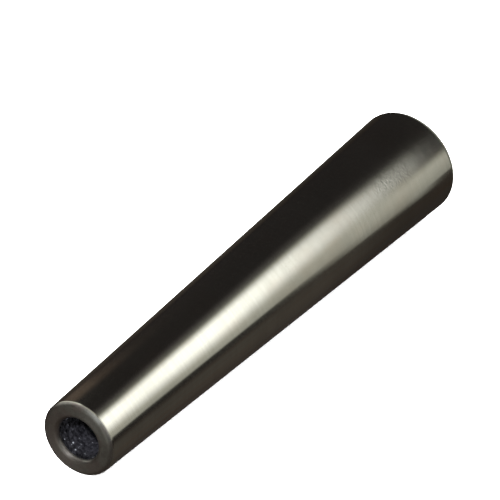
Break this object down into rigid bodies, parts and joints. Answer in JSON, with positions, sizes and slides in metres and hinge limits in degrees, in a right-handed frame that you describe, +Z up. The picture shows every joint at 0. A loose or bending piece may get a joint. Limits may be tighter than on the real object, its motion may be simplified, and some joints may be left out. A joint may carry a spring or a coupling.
{
  "type": "live center",
  "caption": "Slim live center: a long ground Morse taper with a drawbar hole in its small end, and a turning 60 degree point carried on bearings in its large end.",
  "frame": {"origin": "on the axis, at the gauge plane of the Morse taper", "axes": "+X along the axis from the small end towards the work, +Z up with the axis level, cover lock screw at the top"},
  "size_m": [0.2977, 0.052, 0.052],
  "materials": {
    "ground_tool_steel": "fine circumferential grind, dark, glossy",
    "turned_steel": "fine turned, satin",
    "ground_spindle_steel": "hardened and ground, semi-bright",
    "bearing_steel": "polished race, ground faces",
    "polished_balls": "mirror polished",
    "drawn_cup_steel": "deep-drawn sheet, satin",
    "brass_cage": "machined, lightly tarnished",
    "pressed_steel_cage": "pressed and phosphated, matt",
    "seal_case_steel": "drawn sheet, satin",
    "brown_rubber": "moulded, matt",
    "black_nitrile": "moulded, matt",
    "spring_steel": "drawn wire",
    "blued_spring_steel": "tempered, blued",
    "zinc_plated_steel": "zinc plated",
    "black_oxide_steel": "black oxide, oiled"
  },
  "bodies": {
    "barrel": {"taper_body": "ground_tool_steel", "cover_ring": "turned_steel", "cover_o_ring": "black_nitrile", "cover_lock_screw": "black_oxide_steel", "seal_case": "seal_case_steel", "seal_lip": "brown_rubber", "seal_garter_spring": "spring_steel", "preload_wave_spring": "blued_spring_steel", "front_ball_outer_ring": "bearing_steel", "front_roller_outer_ring": "bearing_steel", "thrust_housing_washer": "bearing_steel", "tail_needle_cup": "drawn_cup_steel", "knockout_plug": "black_oxide_steel"},
    "spindle": {"center_spindle": "ground_spindle_steel", "front_ball_inner_ring": "bearing_steel", "front_roller_inner_ring": "bearing_steel", "spindle_lock_washer": "zinc_plated_steel", "spindle_locknut": "black_oxide_steel", "thrust_shaft_washer": "bearing_steel"},
    "front_ball_set": {"front_balls": "polished_balls", "front_ball_cage": "brass_cage"},
    "front_roller_set": {"front_rollers": "polished_balls", "front_roller_cage": "pressed_steel_cage"},
    "thrust_ball_set": {"thrust_balls": "polished_balls", "thrust_ball_cage": "brass_cage"},
    "tail_needle_set": {"tail_needles": "polished_balls", "tail_needle_cage": "pressed_steel_cage"}
  },
  "joints": [
    {"name": "spindle_spin", "type": "hinge", "parent": "barrel", "child": "spindle", "pos_m": [0.1495, 0, 0], "axis": [1, 0, 0], "continuous": true},
    {"name": "front_ball_orbit", "type": "hinge", "parent": "barrel", "child": "front_ball_set", "pos_m": [0.1325, 0, 0], "axis": [1, 0, 0], "continuous": true},
    {"name": "front_roller_orbit", "type": "hinge", "parent": "barrel", "child": "front_roller_set", "pos_m": [0.1195, 0, 0], "axis": [1, 0, 0], "continuous": true},
    {"name": "thrust_ball_orbit", "type": "hinge", "parent": "barrel", "child": "thrust_ball_set", "pos_m": [0.0985, 0, 0], "axis": [1, 0, 0], "continuous": true},
    {"name": "tail_needle_orbit", "type": "hinge", "parent": "barrel", "child": "tail_needle_set", "pos_m": [0.052, 0, 0], "axis": [1, 0, 0], "continuous": true}
  ],
  "couplings": [
    {"joint": "front_ball_orbit", "follows": "spindle_spin", "ratio": 0.4165},
    {"joint": "front_roller_orbit", "follows": "spindle_spin", "ratio": 0.4465},
    {"joint": "thrust_ball_orbit", "follows": "spindle_spin", "ratio": 0.5},
    {"joint": "tail_needle_orbit", "follows": "spindle_spin", "ratio": 0.4413}
  ]
}
